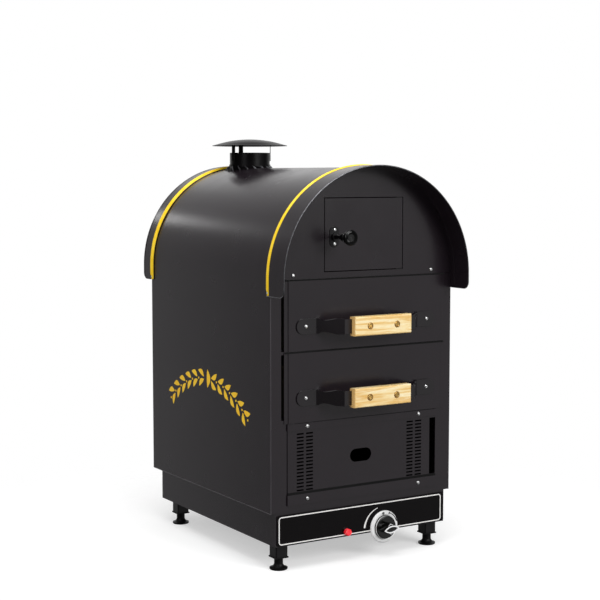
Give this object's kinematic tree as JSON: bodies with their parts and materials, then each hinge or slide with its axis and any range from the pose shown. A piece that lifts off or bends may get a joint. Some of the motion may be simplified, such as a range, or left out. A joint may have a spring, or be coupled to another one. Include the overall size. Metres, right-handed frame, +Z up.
{
  "type": "baked potato oven",
  "caption": "Free-standing arched steel potato oven with pull-out baking drawers, a small hinged warming door, a capped chimney and a plinth with a dial.",
  "frame": {"origin": "on the floor under the middle of the overall footprint, visors and latch knob included", "axes": "+Z up, the front with the drawers faces -Y, +X to the right as seen from the front"},
  "size_m": [0.4932, 0.6857, 0.9495],
  "materials": {
    "black_sheet": "satin black powder coat",
    "black_frame": "satin black powder coat",
    "stainless": "2B stainless sheet",
    "wire": "bright wire",
    "element": "oxidised sheath",
    "motor": "grey paint",
    "trim_yellow": "yellow gold enamel",
    "screws": "zinc plated",
    "brass": "bright",
    "oak": "clear varnish",
    "panel_gloss": "gloss black",
    "bakelite": "gloss black phenolic",
    "bezel": "satin",
    "chrome_trim": "bright",
    "lamp_red": "translucent red",
    "black_plastic": "matt black"
  },
  "bodies": {
    "case": {"body_skin": "black_sheet", "front_frame": "black_sheet", "arch_panel": "black_sheet", "rear_panel": "black_sheet", "floor_pan": "black_sheet", "front_visor": "black_sheet", "rear_visor": "black_sheet", "vent_rails": "black_sheet", "plinth_box": "black_sheet", "chimney_pipe": "black_sheet", "chimney_collar": "black_sheet", "chimney_cap": "black_sheet", "cap_straps": "black_sheet", "base_frame": "black_frame", "leg_front_left": "black_frame", "leg_front_right": "black_frame", "leg_rear_left": "black_frame", "leg_rear_right": "black_frame", "door_pivots": "black_frame", "oven_liner": "stainless", "drawer_runners": "stainless", "upper_liner": "stainless", "fan_baffle": "stainless", "upper_rack": "wire", "ring_element": "element", "fan_motor": "motor", "trim_strips": "trim_yellow", "case_screws": "screws", "control_panel": "panel_gloss", "dial_bezel": "bezel", "pilot_lamp": "lamp_red", "thermostat_body": "black_plastic", "cable_gland": "black_plastic", "leg_inserts": "black_plastic"},
    "door": {"door_pan": "black_sheet", "door_liner": "stainless", "latch_plate": "black_frame", "latch_screws": "screws"},
    "latch": {"latch_spindle": "black_frame", "latch_knob": "bakelite"},
    "upper_drawer": {"upper_drawer_front": "black_sheet", "upper_drawer_box": "stainless", "upper_handle_strap": "black_frame", "upper_handle_grip": "oak", "upper_grip_screws": "brass", "upper_ear_screws": "screws"},
    "lower_drawer": {"lower_drawer_front": "black_sheet", "lower_drawer_box": "stainless", "lower_handle_strap": "black_frame", "lower_handle_grip": "oak", "lower_grip_screws": "brass", "lower_ear_screws": "screws"},
    "vent_cover": {"vent_cover": "black_sheet"},
    "dial": {"dial_knob": "bakelite", "dial_trim": "chrome_trim"},
    "fan": {"fan_wheel": "stainless"},
    "foot_front_left": {"foot_front_left": "black_plastic"},
    "foot_front_right": {"foot_front_right": "black_plastic"},
    "foot_rear_left": {"foot_rear_left": "black_plastic"},
    "foot_rear_right": {"foot_rear_right": "black_plastic"}
  },
  "joints": [
    {"name": "door_swing", "type": "hinge", "parent": "case", "child": "door", "pos_m": [0.097, -0.2665, 0.7315], "axis": [0, 0, 1], "range_deg": [0, 100]},
    {"name": "latch_turn", "type": "hinge", "parent": "door", "child": "latch", "pos_m": [-0.079, -0.2725, 0.727], "axis": [0, -1, 0], "range_deg": [0, 90]},
    {"name": "upper_drawer_slide", "type": "slide", "parent": "case", "child": "upper_drawer", "axis": [0, -1, 0], "range_m": [0, 0.3]},
    {"name": "lower_drawer_slide", "type": "slide", "parent": "case", "child": "lower_drawer", "axis": [0, -1, 0], "range_m": [0, 0.3]},
    {"name": "vent_cover_slide", "type": "slide", "parent": "case", "child": "vent_cover", "axis": [1, 0, 0], "range_m": [0, 0.018]},
    {"name": "dial_turn", "type": "hinge", "parent": "case", "child": "dial", "pos_m": [0.056, -0.2725, 0.067], "axis": [0, -1, 0], "range_deg": [-280, 0]},
    {"name": "fan_spin", "type": "hinge", "parent": "case", "child": "fan", "pos_m": [0, 0.1575, 0.482], "axis": [0, -1, 0], "continuous": true},
    {"name": "foot_front_left_turn", "type": "hinge", "parent": "case", "child": "foot_front_left", "pos_m": [-0.202, -0.2405, 0.015], "axis": [0, 0, 1], "continuous": true},
    {"name": "foot_front_right_turn", "type": "hinge", "parent": "case", "child": "foot_front_right", "pos_m": [0.202, -0.2405, 0.015], "axis": [0, 0, 1], "continuous": true},
    {"name": "foot_rear_left_turn", "type": "hinge", "parent": "case", "child": "foot_rear_left", "pos_m": [-0.202, 0.2345, 0.015], "axis": [0, 0, 1], "continuous": true},
    {"name": "foot_rear_right_turn", "type": "hinge", "parent": "case", "child": "foot_rear_right", "pos_m": [0.202, 0.2345, 0.015], "axis": [0, 0, 1], "continuous": true}
  ]
}
